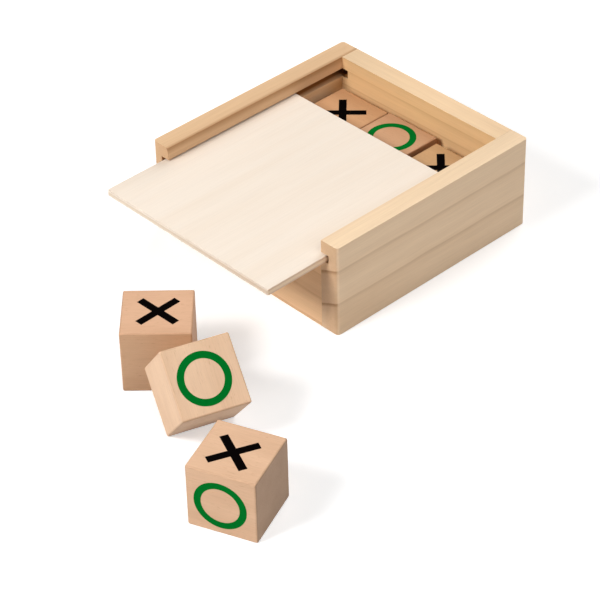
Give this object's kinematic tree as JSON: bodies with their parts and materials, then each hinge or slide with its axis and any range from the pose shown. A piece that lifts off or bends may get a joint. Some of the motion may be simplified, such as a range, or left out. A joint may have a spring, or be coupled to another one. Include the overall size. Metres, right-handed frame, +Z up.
{
  "type": "tic-tac-toe box set",
  "caption": "Square wooden box with a thin lid that slides in side slots, holding noughts-and-crosses playing cubes, some of them lying loose in front of it.",
  "frame": {"origin": "on the table plane, under the middle of the box's footprint", "axes": "+Z up, +Y towards the box's back wall, +X to the box's right seen from its front"},
  "size_m": [0.1558, 0.2006, 0.038],
  "materials": {
    "pine": "sanded bare pine, satin",
    "base_plywood": "thin bare plywood, matt",
    "lid_plywood": "pale sanded plywood, matt",
    "cube_wood": "sanded bare beech, satin",
    "cross_ink": "black printed ink, matt",
    "nought_ink": "green printed ink, matt"
  },
  "bodies": {
    "box": {"wall_left": "pine", "wall_right": "pine", "wall_back": "pine", "wall_front": "pine", "base_panel": "base_plywood"},
    "lid": {"lid": "lid_plywood"},
    "loose_left": {"cube_loose_left": "cube_wood"},
    "loose_leaning": {"cube_loose_leaning": "cube_wood"},
    "loose_right": {"cube_loose_right": "cube_wood"},
    "hidden_left": {"cube_hidden_left": "cube_wood"},
    "hidden_middle": {"cube_hidden_middle": "cube_wood"},
    "hidden_right": {"cube_hidden_right": "cube_wood"},
    "back_left": {"cube_back_left": "cube_wood"},
    "back_middle": {"cube_back_middle": "cube_wood"},
    "back_right": {"cube_back_right": "cube_wood"}
  },
  "joints": [
    {"name": "lid_slide", "type": "slide", "parent": "box", "child": "lid", "axis": [0, -1, 0], "range_m": [-0.024, 0.04]},
    {"name": "loose_left_slide", "type": "slide", "parent": "box", "child": "loose_left", "axis": [-1, 0, 0], "range_m": [0, 0.03]},
    {"name": "loose_leaning_slide", "type": "slide", "parent": "box", "child": "loose_leaning", "axis": [-0.3305, -0.9438, 0], "range_m": [0, 0.03]},
    {"name": "loose_right_slide", "type": "slide", "parent": "box", "child": "loose_right", "axis": [1, 0, 0], "range_m": [0, 0.03]},
    {"name": "hidden_left_slide", "type": "slide", "parent": "box", "child": "hidden_left", "axis": [0, 1, 0], "range_m": [-0.0275, 0.0027]},
    {"name": "hidden_middle_slide", "type": "slide", "parent": "box", "child": "hidden_middle", "axis": [0, 1, 0], "range_m": [-0.028, 0.0021]},
    {"name": "hidden_right_slide", "type": "slide", "parent": "box", "child": "hidden_right", "axis": [0, 1, 0], "range_m": [-0.0255, 0.0047]},
    {"name": "back_left_slide", "type": "slide", "parent": "box", "child": "back_left", "axis": [0, 1, 0], "range_m": [-0.0275, 0.0027]},
    {"name": "back_middle_slide", "type": "slide", "parent": "box", "child": "back_middle", "axis": [0, 1, 0], "range_m": [-0.028, 0.0021]},
    {"name": "back_right_slide", "type": "slide", "parent": "box", "child": "back_right", "axis": [0, 1, 0], "range_m": [-0.0255, 0.0047]}
  ],
  "couplings": [
    {"joint": "back_left_slide", "follows": "hidden_left_slide", "ratio": 1},
    {"joint": "back_middle_slide", "follows": "hidden_middle_slide", "ratio": 1},
    {"joint": "back_right_slide", "follows": "hidden_right_slide", "ratio": 1}
  ]
}
